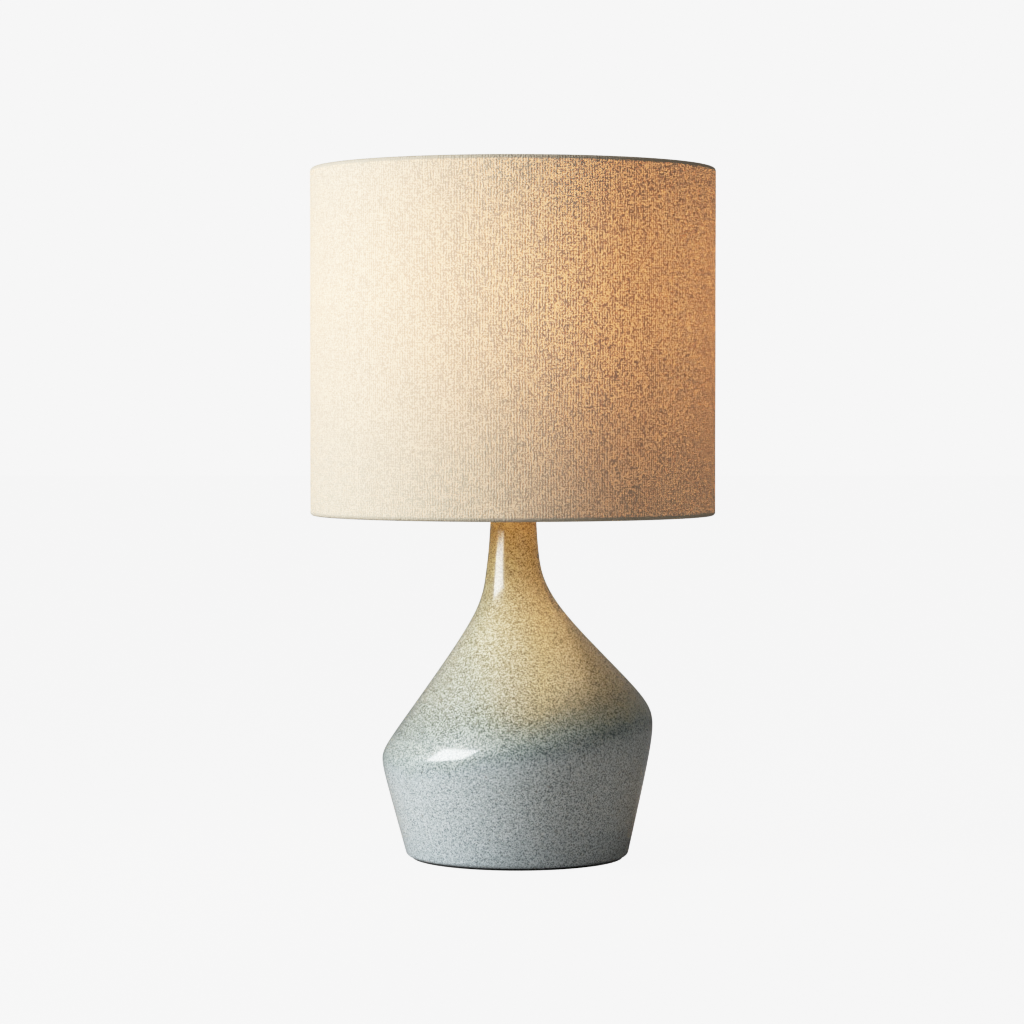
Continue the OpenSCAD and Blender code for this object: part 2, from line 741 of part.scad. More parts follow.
filament_z = glass_centre_z - 4;
filament_r = 12;
module bulb_lead_wires() {
    wire = 0.45;
    wire_foot_x = 1.8;
    end_room = 0.4;            // keeps the slanted ends clear of the stem and the filament
    rise = filament_z - stem_z1 - 2 * end_room;
    lean = atan((filament_r - wire_foot_x) / rise);
    color(steel) for (side = [0, 1]) mirror([side, 0, 0])
        translate([wire_foot_x, 0, stem_z1 + end_room]) rotate([0, lean, 0])
            cylinder(h = rise / cos(lean), r = wire);
}

module bulb_filament() {
    color(steel) translate([0, 0, filament_z]) rotate([90, 0, 0])
        rotate_extrude(angle = 180) translate([filament_r, 0]) circle(r = 0.7);
}

// ---------- shade ----------

// Depth below the rim at which a line that leaves a roll of radius r meets the wall at wall_r
function leaves_roll(r, wall_r) =
    hem_r - r * sin(hem_turn) + (wall_r - rim_r - r * cos(hem_turn)) * tan(hem_turn - 180);

// Outline of one turned hem, from the outer wall over the rim to its tucked edge behind the
// liner, then back. z is the rim's height, and up is 1 for the upper rim and -1 for the lower.
function hem_out(z, up) =
    let (r = hem_r, wall = liner_in_r - fabric_t)
    concat(
        [for (p = arc(rim_r, 0, r, 0, hem_turn, 15)) [p[0], z - up * (hem_r - p[1])]],
        [[wall, z - up * leaves_roll(r, wall)], [wall, z - up * hem_depth]]
    );
function hem_back(z, up) =
    let (r = hem_r - fabric_t, wall = liner_in_r)
    concat(
        [[wall, z - up * hem_depth], [wall, z - up * leaves_roll(r, wall)]],
        [for (p = arc(rim_r, 0, r, hem_turn, 0, 15)) [p[0], z - up * (hem_r - p[1])]]
    );

module shade_linen() {
    color(linen) difference() {
        rotate_extrude() polygon(concat(
            hem_out(shade_z1, 1), hem_back(shade_z1, 1),
            backwards(hem_back(shade_z0, -1)), backwards(hem_out(shade_z0, -1))
        ));
        spider_arms(spider_wire_r + 0.4);
    }
}

module shade_liner() {
    color(liner_white)
        ring(shade_z0 + hem_r, shade_h - 2 * hem_r, liner_r, liner_in_r);
}

module rim_wire(z) {
    translate([0, 0, z]) rotate_extrude() translate([rim_r, 0]) circle(r = rim_wire_r);
}

module spider_arms(r) {
    fitter_mid = fitter_z0 + fitter_t / 2;
    rise = shade_z1 - hem_r - fitter_mid;
    bend_out = arm_bend_r * sin(arm_slope);
    bend_up = arm_bend_r * (1 - cos(arm_slope));
    slope_length = (rise - bend_up) / sin(arm_slope);
    start = fitter_r[1] - 1;
    straight = rim_r - start - bend_out - slope_length * cos(arm_slope);
    steps = [[straight, arm_bend_r, -arm_slope], [slope_length, 0, 0]];
    for (a = spider_angles) rotate([0, 0, a]) translate([start, 0, fitter_mid])
        rotate([0, 90, 0]) wire_path(steps, r);
}

module shade_spider() {
    color(white_wire) difference() {
        union() {
            spider_arms(spider_wire_r);
            translate([0, 0, fitter_z0]) cylinder(h = fitter_t, r = fitter_r[1]);
        }
        translate([0, 0, fitter_z0 - 2]) cylinder(h = fitter_t + 4, r = fitter_r[0]);
        translate([0, 0, fitter_z0 - 4]) cylinder(h = 4, r = 12);
        rim_wire(shade_z1 - hem_r);
    }
}

module shade_upper_ring() {
    color(white_wire) rim_wire(shade_z1 - hem_r);
}

module shade_lower_ring() {
    color(white_wire) rim_wire(shade_z0 + hem_r);
}

module finial() {
    bore_depth = stud_z1 - finial_z0 + 1.2;
    ball_r = 6.3;
    ball_z = finial_h - ball_r;
    color(brass) translate([0, 0, finial_z0]) rotate_extrude() polygon(concat(
        [[stud_r + gap, 0], [7, 0], [7, 1.6], [6.4, 2.2], [5, 2.6]],
        arc(7.6, 5.2, 2.6, 180, 120, 5),
        arc(0, ball_z, ball_r, -50, 90, 16),
        [[0, bore_depth], [stud_r + gap, bore_depth]]
    ));
}

// ---------- which node to draw ----------

felt_pad();
ceramic_body();
base_plate();
spring_washer();
bottom_nut();
lamp_pipe();
cord_bushing();
neck_gasket();
vase_cap();
harp_saddle();
lock_nut();
socket_cap();
cap_set_screw();
socket_shell();
paper_insulator();
switch_block();
block_rivets();
terminal_screws();
contact_strip();
screw_shell();
switch_shaft();
switch_rotor();
switch_knob();
bulb_glass();
bulb_screw_cap();
bulb_insulator();
bulb_contact();
bulb_stem();
bulb_lead_wires();
bulb_filament();
harp_wire();
harp_top_block();
harp_sleeve_left();
harp_sleeve_right();
harp_stud();
shade_linen();
shade_liner();
shade_spider();
shade_upper_ring();
shade_lower_ring();
finial();
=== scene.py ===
"""Looks of the table lamp: glazed ceramic base, lampholder and lit bulb, harp, linen shade.

Lengths here are in metres unless a name ends in _mm. +Z is up, the lamp's axis is x = y = 0,
and the camera looks along +Y.
"""
import json
import math

import bpy
import numpy as np
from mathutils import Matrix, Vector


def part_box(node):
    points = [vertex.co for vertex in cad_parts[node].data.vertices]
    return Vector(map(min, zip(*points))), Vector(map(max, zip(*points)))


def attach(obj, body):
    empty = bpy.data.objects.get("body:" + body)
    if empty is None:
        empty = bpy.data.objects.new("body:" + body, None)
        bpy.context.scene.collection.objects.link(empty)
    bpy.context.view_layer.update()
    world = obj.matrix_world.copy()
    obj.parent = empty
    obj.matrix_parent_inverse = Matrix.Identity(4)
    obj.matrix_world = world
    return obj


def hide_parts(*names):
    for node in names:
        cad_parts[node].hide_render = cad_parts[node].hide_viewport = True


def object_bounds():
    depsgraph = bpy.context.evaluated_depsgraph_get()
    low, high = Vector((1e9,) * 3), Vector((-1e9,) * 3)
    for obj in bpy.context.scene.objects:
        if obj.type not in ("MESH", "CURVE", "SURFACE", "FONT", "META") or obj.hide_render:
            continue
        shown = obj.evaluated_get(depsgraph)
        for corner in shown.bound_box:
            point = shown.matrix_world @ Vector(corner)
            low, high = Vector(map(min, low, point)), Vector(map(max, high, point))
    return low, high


MM = 0.001
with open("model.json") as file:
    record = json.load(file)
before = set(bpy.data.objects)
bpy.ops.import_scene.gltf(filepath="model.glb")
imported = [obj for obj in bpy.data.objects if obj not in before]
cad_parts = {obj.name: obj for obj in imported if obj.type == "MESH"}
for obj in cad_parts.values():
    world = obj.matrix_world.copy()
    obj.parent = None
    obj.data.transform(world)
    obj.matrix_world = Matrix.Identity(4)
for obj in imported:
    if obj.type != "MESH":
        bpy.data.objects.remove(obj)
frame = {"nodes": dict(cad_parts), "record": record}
cad_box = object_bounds()
scene = bpy.context.scene
nodes = frame["nodes"]

# ---------- camera ----------

CAMERA_DISTANCE = 2.3
CAMERA_HEIGHT = 0.315
LENS_MM = 116.9
SENSOR_MM = 36.0
CAMERA_X = -0.00064
CAMERA_PITCH = -1.89       # degrees from level

camera_data = bpy.data.cameras.new("camera")
camera_data.sensor_width = SENSOR_MM
camera_data.lens = LENS_MM
camera = bpy.data.objects.new("camera", camera_data)
camera.location = (CAMERA_X, -CAMERA_DISTANCE, CAMERA_HEIGHT)
camera.rotation_euler = (math.radians(90 + CAMERA_PITCH), 0.0, 0.0)
scene.collection.objects.link(camera)
scene.camera = camera

# ---------- sizes read from the frame ----------

linen_low, linen_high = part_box("shade_linen")
SHADE_R = (linen_high.x - linen_low.x) / 2
SHADE_Z0, SHADE_Z1 = linen_low.z, linen_high.z
clay_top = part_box("ceramic_body")[1].z
glass_low, glass_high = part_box("bulb_glass")

# ---------- node helpers ----------


class Shader:
    """A material's node tree with short ways to add nodes."""

    def __init__(self, name):
        self.material = bpy.data.materials.new(name)
        self.material.use_nodes = True
        self.tree = self.material.node_tree
        self.tree.nodes.clear()

    def put(self, socket, value):
        if isinstance(value, bpy.types.NodeSocket):
            self.tree.links.new(value, socket)
        elif isinstance(value, (tuple, list)) and len(value) == 3 and socket.type == "RGBA":
            socket.default_value = (*value, 1.0)
        else:
            socket.default_value = value

    def add(self, kind, inputs=None, **settings):
        node = self.tree.nodes.new(kind)
        for key, value in settings.items():
            setattr(node, key, value)
        for key, value in (inputs or {}).items():
            self.put(node.inputs[key], value)
        return node

    def math(self, operation, a, b=0.0, c=0.0):
        node = self.add("ShaderNodeMath", {0: a, 1: b, 2: c}, operation=operation)
        return node.outputs[0]

    def spread(self, value, low, high, to_low=0.0, to_high=1.0, smooth=False):
        node = self.add(
            "ShaderNodeMapRange",
            {"Value": value, "From Min": low, "From Max": high,
             "To Min": to_low, "To Max": to_high},
            interpolation_type="SMOOTHSTEP" if smooth else "LINEAR",
        )
        return node.outputs["Result"]

    def noise(self, vector, scale, detail=2.0, roughness=0.5, distortion=0.0):
        node = self.add(
            "ShaderNodeTexNoise",
            {"Vector": vector, "Scale": scale, "Detail": detail, "Roughness": roughness,
             "Distortion": distortion},
        )
        return node.outputs[0]

    def mix(self, factor, a, b, blend="MIX"):
        node = self.add("ShaderNodeMix", data_type="RGBA", blend_type=blend)
        self.put(node.inputs[0], factor)
        self.put(node.inputs[6], a)
        self.put(node.inputs[7], b)
        return node.outputs[2]

    def ramp(self, value, stops):
        node = self.add("ShaderNodeValToRGB", {0: value})
        band = node.color_ramp
        while len(band.elements) < len(stops):
            band.elements.new(0.5)
        for element, (place, colour) in zip(band.elements, stops):
            element.position = place
            element.color = (*colour, 1.0)
        return node.outputs[0]

    def bump(self, height, strength, distance, normal=None):
        inputs = {"Height": height, "Strength": strength, "Distance": distance}
        if normal is not None:
            inputs["Normal"] = normal
        return self.add("ShaderNodeBump", inputs).outputs[0]

    def place(self):
        """Object coordinates, and their x, y and z."""
        vector = self.add("ShaderNodeTexCoord").outputs["Object"]
        split = self.add("ShaderNodeSeparateXYZ", {0: vector})
        return vector, split.outputs[0], split.outputs[1], split.outputs[2]

    def scaled(self, vector, by):
        node = self.add("ShaderNodeVectorMath", {0: vector, 1: by}, operation="MULTIPLY")
        return node.outputs[0]

    def combine(self, x, y, z):
        return self.add("ShaderNodeCombineXYZ", {0: x, 1: y, 2: z}).outputs[0]

    def principled(self, **inputs):
        return self.add(
            "ShaderNodeBsdfPrincipled",
            {key.replace("_", " "): value for key, value in inputs.items()},
        ).outputs[0]

    def finish(self, surface):
        output = self.add("ShaderNodeOutputMaterial")
        self.tree.links.new(surface, output.inputs["Surface"])
        return self.material


# ---------- materials ----------


SHOULDER_TURN = (0.1624, 0.0375)     # rise of the shoulder for each metre of x and of y
GLAZE_GRAIN, GLAZE_CLOT = 1800.0, 950.0
LEVEL_RANGE = 0.25                   # metres of height that the glaze's colour ramps span
SIDE_LIGHT_GAIN = (1.06, 1.10, 1.26)       # the painted side-light ramp's colours times this reach past white
NO_SIDE_LIGHT = (0.943, 0.909, 0.794)     # one over the gain above: leaves the glaze as it is, with no painted side light


def glaze():
    """Glossy reactive glaze: ochre neck, sandy shoulder and a blue-grey body, all of it speckled with
    pale and dark grains. A dark band along the ridge is painted shade and dark reflection, and above
    the ridge the left side carries painted cool window light and the right side painted warm bulb
    light."""
    s = Shader("speckled_glaze")
    p, x, y, z = s.place()
    # height measured along the shoulder's tilt, so that the ridge lies at about 76 to 83 mm all round
    tilt = s.math("ADD", s.math("MULTIPLY", x, SHOULDER_TURN[0]),
                  s.math("MULTIPLY", y, SHOULDER_TURN[1]))
    along = s.math("SUBTRACT", z, tilt)
    grains = s.add("ShaderNodeTexVoronoi", {"Vector": p, "Scale": GLAZE_GRAIN, "Randomness": 1.0})
    parts = s.add("ShaderNodeSeparateColor", {0: grains.outputs["Color"]}).outputs
    clots = s.noise(p, GLAZE_CLOT, 0.0, 0.6)
    grain = s.math("ADD", s.math("MULTIPLY", parts[0], 0.66),
                   s.spread(clots, 0.28, 0.72, 0.0, 0.34))
    drift = s.spread(s.noise(p, 30.0, 3.0, 0.6), 0.3, 0.7, -0.003, 0.003)
    level = s.spread(s.math("ADD", s.math("ADD", along, drift),
                            s.spread(parts[1], 0.0, 1.0, -0.0035, 0.0035)), 0.0, LEVEL_RANGE)
    # painted shade: this mask runs from 0 on the left, window-lit side to 1 on the right, shaded side
    # of the shoulder
    shaded_side = s.spread(x, -0.045, 0.060, smooth=True)
    contrast = s.spread(x, -0.010, 0.050, 1.0, 2.0, smooth=True)
    grain = s.math("ADD", s.math("MULTIPLY", s.math("SUBTRACT", grain, 0.45), contrast), 0.45)
    # levels 0.312 to 0.358 in both ramps hold a dark band along the ridge: painted shade and dark
    # reflection in the crease
    body = s.ramp(level, [
        (0.02, (0.37, 0.42, 0.435)), (0.12, (0.40, 0.45, 0.465)), (0.28, (0.40, 0.45, 0.46)),
        (0.312, (0.33, 0.385, 0.40)), (0.333, (0.095, 0.145, 0.150)),
        (0.358, (0.115, 0.155, 0.140)),
        (0.41, (0.155, 0.17, 0.122)), (0.48, (0.20, 0.195, 0.13)), (0.60, (0.215, 0.195, 0.115)),
        (0.71, (0.235, 0.195, 0.10)), (0.82, (0.285, 0.21, 0.08)), (0.92, (0.30, 0.175, 0.042)),
    ])
    pale = s.ramp(level, [
        (0.02, (0.60, 0.645, 0.66)), (0.15, (0.67, 0.705, 0.715)), (0.285, (0.66, 0.70, 0.71)),
        (0.312, (0.56, 0.61, 0.62)), (0.335, (0.33, 0.39, 0.385)), (0.38, (0.46, 0.50, 0.44)),
        (0.45, (0.55, 0.57, 0.47)), (0.60, (0.58, 0.57, 0.43)), (0.71, (0.57, 0.52, 0.36)),
        (0.82, (0.56, 0.455, 0.225)), (0.92, (0.50, 0.335, 0.11)),
    ])
    # painted light: the dark ridge band is made paler on the left, window-lit side
    lit_side_band = s.math("MULTIPLY", s.spread(level, 0.300, 0.330, smooth=True),
                      s.spread(level, 0.365, 0.430, 1.0, 0.0, smooth=True))
    lit_side_band = s.math("MULTIPLY", lit_side_band, s.spread(shaded_side, 0.0, 1.0, 0.80, 0.0))
    body = s.mix(lit_side_band, body, (0.30, 0.345, 0.325))
    pale = s.mix(lit_side_band, pale, (0.62, 0.665, 0.64))
    dark = s.mix(1.0, body, (0.42, 0.43, 0.44), "MULTIPLY")
    colour = s.mix(s.spread(grain, 0.16, 0.40), dark, body)
    colour = s.mix(s.spread(grain, 0.50, 0.70), colour, pale)
    # above the ridge, painted light: cool window light tints the left side greener and warm bulb
    # light tints the right side browner
    turn = s.ramp(s.spread(x, -0.040, 0.040), [
        (0.0, (0.98, 1.0, 1.0)), (0.25, (0.90, 0.94, 0.90)), (0.5, (0.92, 0.86, 0.76)),
        (0.75, (0.94, 0.77, 0.53)), (1.0, (0.93, 0.775, 0.57)),
    ])
    turn = s.mix(s.spread(level, 0.36, 0.44, smooth=True), NO_SIDE_LIGHT, turn)
    colour = s.mix(1.0, colour, s.mix(1.0, turn, SIDE_LIGHT_GAIN, "MULTIPLY"), "MULTIPLY")
    # painted shade: darkens the glaze just above the ridge on the right, shaded side
    ridge_shade = s.math("MULTIPLY", s.spread(level, 0.345, 0.375, smooth=True),
                        s.spread(level, 0.42, 0.50, 1.0, 0.0, smooth=True))
    ridge_shade = s.math("MULTIPLY", ridge_shade, s.spread(shaded_side, 0.25, 0.85, 0.0, 0.26))
    colour = s.mix(ridge_shade, colour, (0.05, 0.055, 0.045))
    spots = s.spread(s.noise(p, 300.0, 1.0, 0.5), 0.72, 0.76)
    colour = s.mix(s.math("MULTIPLY", spots, 0.5), colour, (0.10, 0.075, 0.045))
    rough = s.spread(grain, 0.2, 0.8, 0.26, 0.36)
    normal = s.bump(grain, 0.10, 0.0003)
    normal = s.bump(s.noise(p, 95.0, 2.0, 0.5), 0.08, 0.0015, normal)
    return s.finish(s.principled(
        Base_Color=colour, Roughness=rough, Normal=normal, IOR=1.5,
        Coat_Weight=0.85, Coat_Roughness=0.11, Coat_IOR=1.5,
    ))


WARP_PITCH = 1.87 * MM         # between the linen's upright threads
WEFT_PITCH = 1.45 * MM         # between its level ones
WARP_SHARE, WEFT_SHARE = 0.60, 0.24
# Noise in the yarn: grains a metre around and up, seed, amount, detail
YARN_NOISE = (
    (1300.0, 1120.0, 5.5, 1.10, 0.0),      # fuzz
    (1080.0, 120.0, 3.7, 0.38, 1.0),       # slubs along the upright threads
    (90.0, 1150.0, 9.1, 0.22, 1.0),        # slubs along the level threads
)
LIT_COLOUR = (0.95, 0.455, 0.195)
SHINE_THROUGH = 0.22           # share of the cloth that lets light through
HEM_SHADE_MM = (2.2, 3.2)      # from a rim: the hem stops the light, then lets it through


def linen(name, shine_through=1.0):
    """Oatmeal linen on a stiff liner: uneven upright threads that show dark with light behind."""
    s = Shader(name)
    p, x, y, z = s.place()
    around = s.math("ARCTAN2", x, s.math("MULTIPLY", y, -1.0))
    u = s.math("MULTIPLY", around, SHADE_R)

    def weave_noise(across, along, seed, detail=2.0, roughness=0.5):
        """Noise with so many grains a metre around the drum, and up it."""
        vector = s.combine(s.math("MULTIPLY", u, across), seed, s.math("MULTIPLY", z, along))
        return s.noise(vector, 1.0, detail, roughness)

    # threads wander a little
    wander = weave_noise(60.0, 60.0, 0.0)
    u_bent = s.math("ADD", u, s.spread(wander, 0.3, 0.7, -0.0004, 0.0004))
    z_bent = s.math("ADD", z, s.spread(wander, 0.3, 0.7, -0.0009, 0.0009))
    warp = s.math("SINE", s.math("MULTIPLY", u_bent, 2 * math.pi / WARP_PITCH))
    weft = s.math("SINE", s.math("MULTIPLY", z_bent, 2 * math.pi / WEFT_PITCH))
    # how much yarn lies at each point, 0 in a gap and 1 at a thick crossing: the threads,
    # their fuzz, and slubs along the upright and the level ones
    yarn = s.math("MULTIPLY", warp, WARP_SHARE)
    yarn = s.math("ADD", yarn, s.math("MULTIPLY", weft, WEFT_SHARE))
    for across, along, seed, amount, detail in YARN_NOISE:
        grain = weave_noise(across, along, seed, detail)
        yarn = s.math("ADD", yarn, s.spread(grain, 0.30, 0.70, -amount, amount))
    yarn = s.math("ADD", yarn, 0.5)
    flecks = s.spread(weave_noise(420.0, 300.0, 1.3, 2.0, 0.55), 0.68, 0.74)
    # light from outside
    front = s.mix(s.spread(yarn, 0.0, 1.0), (0.775, 0.675, 0.52), (0.695, 0.595, 0.435))
    front = s.mix(s.math("MULTIPLY", flecks, 0.35), front, (0.36, 0.27, 0.18))
    # light from inside
    thin = s.ramp(s.spread(yarn, 0.14, 0.86), [
        (0.0, (1.0, 0.87, 0.64)), (0.5, (0.57, 0.40, 0.235)), (1.0, (0.10, 0.035, 0.008)),
    ])
    thin = s.mix(s.math("MULTIPLY", flecks, 0.6), thin, (0.16, 0.08, 0.03))
    # the rim wires and the turned hem stop the light; on the hems the cloth's own colour is also
    # darkened toward grey-brown as painted shade
    shut, open_from = (edge * MM for edge in HEM_SHADE_MM)
    low = s.spread(z, SHADE_Z0 + shut, SHADE_Z0 + open_from, smooth=True)
    high = s.spread(z, SHADE_Z1 - open_from, SHADE_Z1 - shut, 1.0, 0.0, smooth=True)
    single = s.math("MULTIPLY", low, high)
    front = s.mix(single, s.mix(0.65, front, (0.40, 0.33, 0.25)), front)
    normal = s.bump(yarn, 0.35, 0.00035)
    cloth = s.principled(
        Base_Color=front, Roughness=0.92, Normal=normal, Specular_IOR_Level=0.15,
        Sheen_Weight=0.10, Sheen_Roughness=0.5,
    )
    glow = s.add("ShaderNodeBsdfTranslucent", {"Color": thin}).outputs[0]
    open_part = s.math("MULTIPLY", single, SHINE_THROUGH * shine_through)
    both = s.add("ShaderNodeMixShader", {0: open_part, 1: cloth, 2: glow}).outputs[0]
    return s.finish(both)


def felt():
    """Pressed black felt with loose fibres."""
    s = Shader("felt")
    p, x, y, z = s.place()
    fibre = s.noise(s.scaled(p, (1.0, 1.0, 0.4)), 1400.0, 4.0, 0.7, 1.5)
    colour = s.ramp(fibre, [(0.35, (0.010, 0.010, 0.011)), (0.65, (0.055, 0.053, 0.050))])
    return s.finish(s.principled(
        Base_Color=colour, Roughness=0.96, Normal=s.bump(fibre, 0.6, 0.0004),
        Specular_IOR_Level=0.1, Sheen_Weight=0.3,
    ))


def metal(name, colour, rough, tarnish, stretch=(1.0, 1.0, 30.0)):
    """Plated or turned metal: fine turning lines, a cloudy finish, darker tarnish in patches."""
    s = Shader(name)
    p, x, y, z = s.place()
    lines = s.noise(s.scaled(p, stretch), 260.0, 3.0, 0.7)
    patches = s.noise(p, 120.0, 3.0, 0.6)
    tone = s.mix(s.spread(patches, 0.42, 0.68), colour, tarnish)
    tone = s.mix(s.spread(lines, 0.3, 0.7, 0.0, 0.16), tone, tuple(c * 0.55 for c in colour))
    roughness = s.math("ADD", s.spread(lines, 0.3, 0.7, -0.05, 0.06),
                       s.spread(patches, 0.3, 0.7, rough - 0.05, rough + 0.10))
    return s.finish(s.principled(
        Base_Color=tone, Metallic=1.0, Roughness=roughness,
        Normal=s.bump(lines, 0.12, 0.0002),
    ))


def moulded(name, dark, light, rough, grain=700.0, coat=0.0):
    """Moulded or painted surface with a faint texture and worn, uneven sheen."""
    s = Shader(name)
    p, x, y, z = s.place()
    fine = s.noise(p, grain, 3.0, 0.6)
    broad = s.noise(p, 70.0, 3.0, 0.6)
    colour = s.mix(s.spread(s.math("ADD", s.math("MULTIPLY", fine, 0.4),
                                   s.math("MULTIPLY", broad, 0.6)), 0.35, 0.65), dark, light)
    roughness = s.math("ADD", s.spread(broad, 0.3, 0.7, rough - 0.05, rough + 0.07),
                       s.spread(fine, 0.3, 0.7, -0.03, 0.03))
    return s.finish(s.principled(
        Base_Color=colour, Roughness=roughness, Normal=s.bump(fine, 0.12, 0.0003),
        Coat_Weight=coat, Coat_Roughness=0.2,
    ))


def frosted_bulb():
    """White frosted glass, lit from within, a little cooler and dimmer at its neck."""
    s = Shader("frosted_bulb")
    p, x, y, z = s.place()
    height = s.spread(z, glass_low.z, glass_high.z)
    frost = s.noise(p, 480.0, 3.0, 0.6)
    colour = s.mix(s.spread(frost, 0.3, 0.7), (0.90, 0.88, 0.83), (0.97, 0.96, 0.93))
    glow = s.ramp(height, [(0.0, (0.45, 0.24, 0.09)), (0.30, (0.95, 0.62, 0.33)),
                           (0.62, (1.0, 0.86, 0.62)), (1.0, (1.0, 0.80, 0.53))])
    return s.finish(s.principled(
        Base_Color=colour, Roughness=s.spread(frost, 0.3, 0.7, 0.30, 0.42),
        Normal=s.bump(frost, 0.05, 0.0002), Coat_Weight=0.3, Coat_Roughness=0.12,
        Emission_Color=glow, Emission_Strength=2.2,
    ))


def stem_glass():
    """Clear glass, a little rippled."""
    s = Shader("stem_glass")
    p, x, y, z = s.place()
    ripple = s.noise(p, 220.0, 2.0, 0.5)
    return s.finish(s.principled(
        Base_Color=s.mix(s.spread(ripple, 0.3, 0.7), (0.80, 0.86, 0.86), (0.93, 0.96, 0.96)),
        Roughness=s.spread(ripple, 0.3, 0.7, 0.04, 0.12), Transmission_Weight=0.9, IOR=1.5,
        Normal=s.bump(ripple, 0.1, 0.0004),
    ))


def hot_wire():
    """Drawn tungsten with a coil's fine ridges."""
    s = Shader("hot_wire")
    p, x, y, z = s.place()
    coil = s.noise(s.scaled(p, (4.0, 1.0, 1.0)), 900.0, 2.0, 0.6)
    return s.finish(s.principled(
        Base_Color=s.mix(s.spread(coil, 0.3, 0.7), (0.20, 0.18, 0.16), (0.42, 0.38, 0.33)),
        Metallic=1.0, Roughness=s.spread(coil, 0.3, 0.7, 0.30, 0.50),
        Normal=s.bump(coil, 0.3, 0.0003),
    ))


NICKEL = (0.60, 0.585, 0.555)
BRASS = (0.68, 0.47, 0.20)
STEEL = (0.52, 0.53, 0.54)
glaze_material = glaze()
linen_material = linen("oatmeal_linen")
linen_lap_material = linen("oatmeal_linen_lap", 0.55)
bulb_material = frosted_bulb()
brass_material = metal("brass", BRASS, 0.26, (0.42, 0.27, 0.11))
knob_material = moulded("black_knob", (0.012, 0.011, 0.010), (0.035, 0.031, 0.028), 0.34, coat=0.2)

slot_materials = {
    "felt": felt(),
    "plate_steel": metal("zinc_steel", STEEL, 0.36, (0.36, 0.36, 0.34)),
    "brass": brass_material,
    "nickel": metal("satin_nickel", NICKEL, 0.30, (0.42, 0.40, 0.36)),
    "rubber": moulded("black_rubber", (0.010, 0.010, 0.010), (0.030, 0.030, 0.029), 0.72),
    "phenolic": moulded("phenolic", (0.018, 0.012, 0.009), (0.050, 0.034, 0.024), 0.28, coat=0.3),
    "card": moulded("fibre_card", (0.42, 0.34, 0.22), (0.60, 0.52, 0.38), 0.85, 420.0),
    "knob": knob_material,
    "opal": bulb_material,
    "clear": stem_glass(),
    "filament": hot_wire(),
    "linen": linen_material,
    "liner": moulded("styrene_liner", (0.80, 0.78, 0.72), (0.90, 0.885, 0.84), 0.55, 900.0),
    "white_wire": moulded("white_enamel", (0.74, 0.74, 0.71), (0.88, 0.88, 0.86), 0.32, coat=0.3),
    "glaze": glaze_material,
}
slot_of = {part["node"]: part["material_slot"] for part in frame["record"]["subparts"]}
for name, node in nodes.items():
    node.data.materials.clear()
    node.data.materials.append(slot_materials[slot_of[name]])

# ---------- mesh helpers ----------


def mesh_piece(name, points, faces, material, body, replaced, smooth_angle=40.0):
    """A piece of the lamp from points and faces, shaded smooth except across sharp edges."""
    mesh = bpy.data.meshes.new(name)
    mesh.from_pydata(points, [], faces)
    mesh.validate()
    mesh.update()
    mesh.polygons.foreach_set("use_smooth", [True] * len(mesh.polygons))
    mesh.set_sharp_from_angle(angle=math.radians(smooth_angle))
    mesh.materials.append(material)
    piece = bpy.data.objects.new(name, mesh)
    scene.collection.objects.link(piece)
    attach(piece, body)
    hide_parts(*replaced)
    return piece


def skin(rings, closed=True):
    """Points and faces through rings of points. Closed joins the last ring to the first."""
    rings = np.asarray(rings, float)
    n, m = rings.shape[:2]
    points = rings.reshape(-1, 3).tolist()
    faces = []
    for j in range(n if closed else n - 1):
        k = (j + 1) % n
        for i in range(m):
            h = (i + 1) % m
            faces.append((j * m + i, j * m + h, k * m + h, k * m + i))
    return points, faces


def ring_of(radii, heights, angles):
    radii = np.broadcast_to(radii, angles.shape)
    heights = np.broadcast_to(heights, angles.shape)
    return np.stack([radii * np.cos(angles), radii * np.sin(angles), heights], axis=1)


def arc(cx, cy, r, a0, a1, n):
    """Points on an arc, with angles in degrees."""
    turn = np.radians(np.linspace(a0, a1, n + 1))
    return [(cx + r * math.cos(a), cy + r * math.sin(a)) for a in turn]


# ---------- ceramic base ----------
# The same curves as the solid: a leaning lower wall, a tilted cone above it, and a soft
# meeting of the two that makes the shoulder. These lengths are in millimetres.

FOOT_R, FOOT_X, WALL_FLARE, WALL_LEAN = 76.5, 3.2, 0.253, -0.0265
CONE_TIP_Z, CONE_SLOPE, CONE_DRIFT, HIGH_SIDE = 197.0, 0.902, 0.168, math.radians(13)
NECK_R, NECK_X, NECK_BLEND, NECK_TAPER, NECK_BLEND_Z = 13.8, 0.5, 22.0, 0.003, 232.0
SHOULDER_BLEND, SHOULDER_MORE, DRIFT_BLEND, SHOULDER_TILT = 11.0, 5.0, 7.3, 15.0
FOOT_Z, FOOT_ROUND, NECK_ROUND, CLAY_T = 1.5, 2.5, 2.0, 6.0
FLOOR_Z, FLOOR_T, RECESS_R, FLOOR_HOLE_R, PIPE_PASSAGE_R = 9.0, 6.0, 60.0, 20.0, 6.5
OUTLET_Z, OUTLET_R, OUTLET_FLANGE_R, OUTLET_SEAT = 24.0, 5.5, 8.0, 0.5
CLAY_SIDES = 224


def soft_max(a, b, k):
    return (a + b + np.sqrt((a - b) ** 2 + k * k)) / 2


def soft_min(a, b, k):
    return (a + b - np.sqrt((a - b) ** 2 + k * k)) / 2


def reach(angle, cx, cy, r):
    """Distance from the axis to a circle around (cx, cy), in direction angle."""
    along = cx * np.cos(angle) + cy * np.sin(angle)
    across = cx * np.sin(angle) - cy * np.cos(angle)
    return along + np.sqrt(r * r - across * across)


